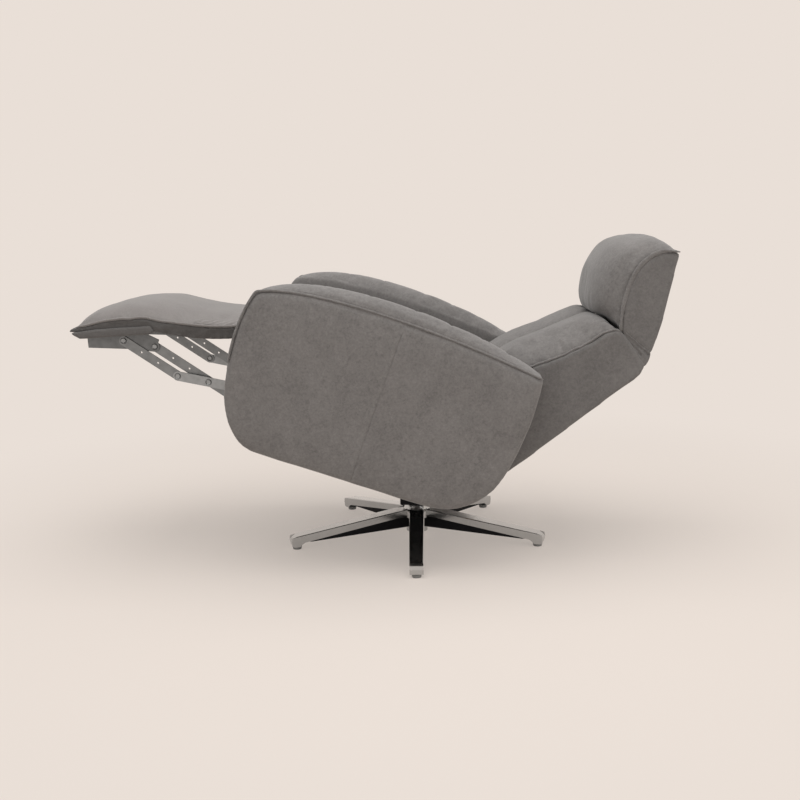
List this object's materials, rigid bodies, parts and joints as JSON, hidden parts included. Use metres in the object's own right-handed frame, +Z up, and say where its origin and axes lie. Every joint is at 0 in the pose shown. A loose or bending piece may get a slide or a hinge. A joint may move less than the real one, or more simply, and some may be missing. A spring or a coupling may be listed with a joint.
{
  "type": "star base swivel recliner",
  "caption": "Fabric swivel recliner laid back, with a padded headrest, crowned arms and a scissor-linked footrest, on a polished star base.",
  "frame": {"origin": "on the floor at the swivel axis", "axes": "+Z up; the chair faces -X; +Y is the sitter's right-hand side"},
  "size_m": [1.4873, 0.6974, 0.8107],
  "materials": {
    "upholstery": "matte",
    "polished_aluminium": "polished",
    "black_casting": "satin",
    "zinc_steel": "satin",
    "steel": "satin",
    "timber": "matte",
    "webbing": "matte",
    "glide_plastic": "matte"
  },
  "bodies": {
    "base": {"star_base": "polished_aluminium", "base_webs": "black_casting", "glides": "glide_plastic", "thrust_bearing": "steel"},
    "swivel": {"swivel_column": "steel", "column_housing": "black_casting", "tilt_yoke": "black_casting", "tilt_pin": "steel"},
    "seat": {"tilt_cradle": "black_casting", "mechanism_plate_left": "zinc_steel", "mechanism_plate_right": "zinc_steel", "seat_rail_left": "timber", "seat_rail_right": "timber", "front_rail": "timber", "rear_rail": "timber", "seat_webbing": "webbing", "seat_cushion": "upholstery", "calf_pad": "upholstery", "arm_panel_left": "timber", "arm_panel_right": "timber", "arm_outer_cover_left": "upholstery", "arm_outer_cover_right": "upholstery", "arm_inner_cover_left": "upholstery", "arm_inner_cover_right": "upholstery", "arm_top_pad_left": "upholstery", "arm_top_pad_right": "upholstery", "recline_plates": "steel", "recline_pins": "steel", "main_pivots": "steel"},
    "rear_links": {"rear_link_left": "zinc_steel", "rear_link_right": "zinc_steel", "rear_link_rivets": "steel", "cross_tube": "zinc_steel"},
    "lower_links": {"lower_link_left": "zinc_steel", "lower_link_right": "zinc_steel"},
    "upper_links": {"upper_link_left": "zinc_steel", "upper_link_right": "zinc_steel"},
    "footrest": {"footrest_bracket_left": "zinc_steel", "footrest_bracket_right": "zinc_steel", "footrest_rivets": "steel", "footrest_board": "timber", "footrest_cushion": "upholstery"},
    "back": {"back_frame": "timber", "back_webbing": "webbing", "back_hinge_arms": "steel", "back_shell": "upholstery", "back_cushion": "upholstery", "neck_gusset": "upholstery", "head_hinge_lower": "steel"},
    "headrest": {"head_hinge_upper": "steel", "headrest_board": "timber", "headrest_shell": "upholstery", "headrest_cushion": "upholstery"}
  },
  "joints": [
    {"name": "base_swivel", "type": "hinge", "parent": "base", "child": "swivel", "pos_m": [0, 0, 0.1], "axis": [0, 0, 1], "continuous": true},
    {"name": "seat_tilt", "type": "hinge", "parent": "swivel", "child": "seat", "pos_m": [0, 0, 0.25], "axis": [0, -1, 0], "range_deg": [0, 18.5]},
    {"name": "footrest_fold", "type": "hinge", "parent": "seat", "child": "rear_links", "pos_m": [-0.38812, 0, 0.43259], "axis": [0, -1, 0], "range_deg": [0, 72], "deforming": ["calf_pad"]},
    {"name": "upper_link_fold", "type": "hinge", "parent": "rear_links", "child": "upper_links", "pos_m": [-0.51533, 0, 0.45939], "axis": [0, -1, 0], "range_deg": [-136, 0]},
    {"name": "lower_link_fold", "type": "hinge", "parent": "rear_links", "child": "lower_links", "pos_m": [-0.59361, 0, 0.47589], "axis": [0, -1, 0], "range_deg": [-136, 0]},
    {"name": "footrest_level", "type": "hinge", "parent": "upper_links", "child": "footrest", "pos_m": [-0.6503, 0, 0.55078], "axis": [0, -1, 0], "range_deg": [0, 136]},
    {"name": "back_recline", "type": "hinge", "parent": "seat", "child": "back", "pos_m": [0.19963, 0, 0.32978], "axis": [0, -1, 0], "range_deg": [0, 24]},
    {"name": "headrest_tilt", "type": "hinge", "parent": "back", "child": "headrest", "pos_m": [0.56636, 0, 0.52286], "axis": [0, 1, 0], "range_deg": [0, 35], "deforming": ["neck_gusset"]}
  ],
  "couplings": [
    {"joint": "upper_link_fold", "follows": "footrest_fold", "ratio": -1.88},
    {"joint": "lower_link_fold", "follows": "footrest_fold", "ratio": -1.88},
    {"joint": "footrest_level", "follows": "footrest_fold", "ratio": 1.88}
  ]
}
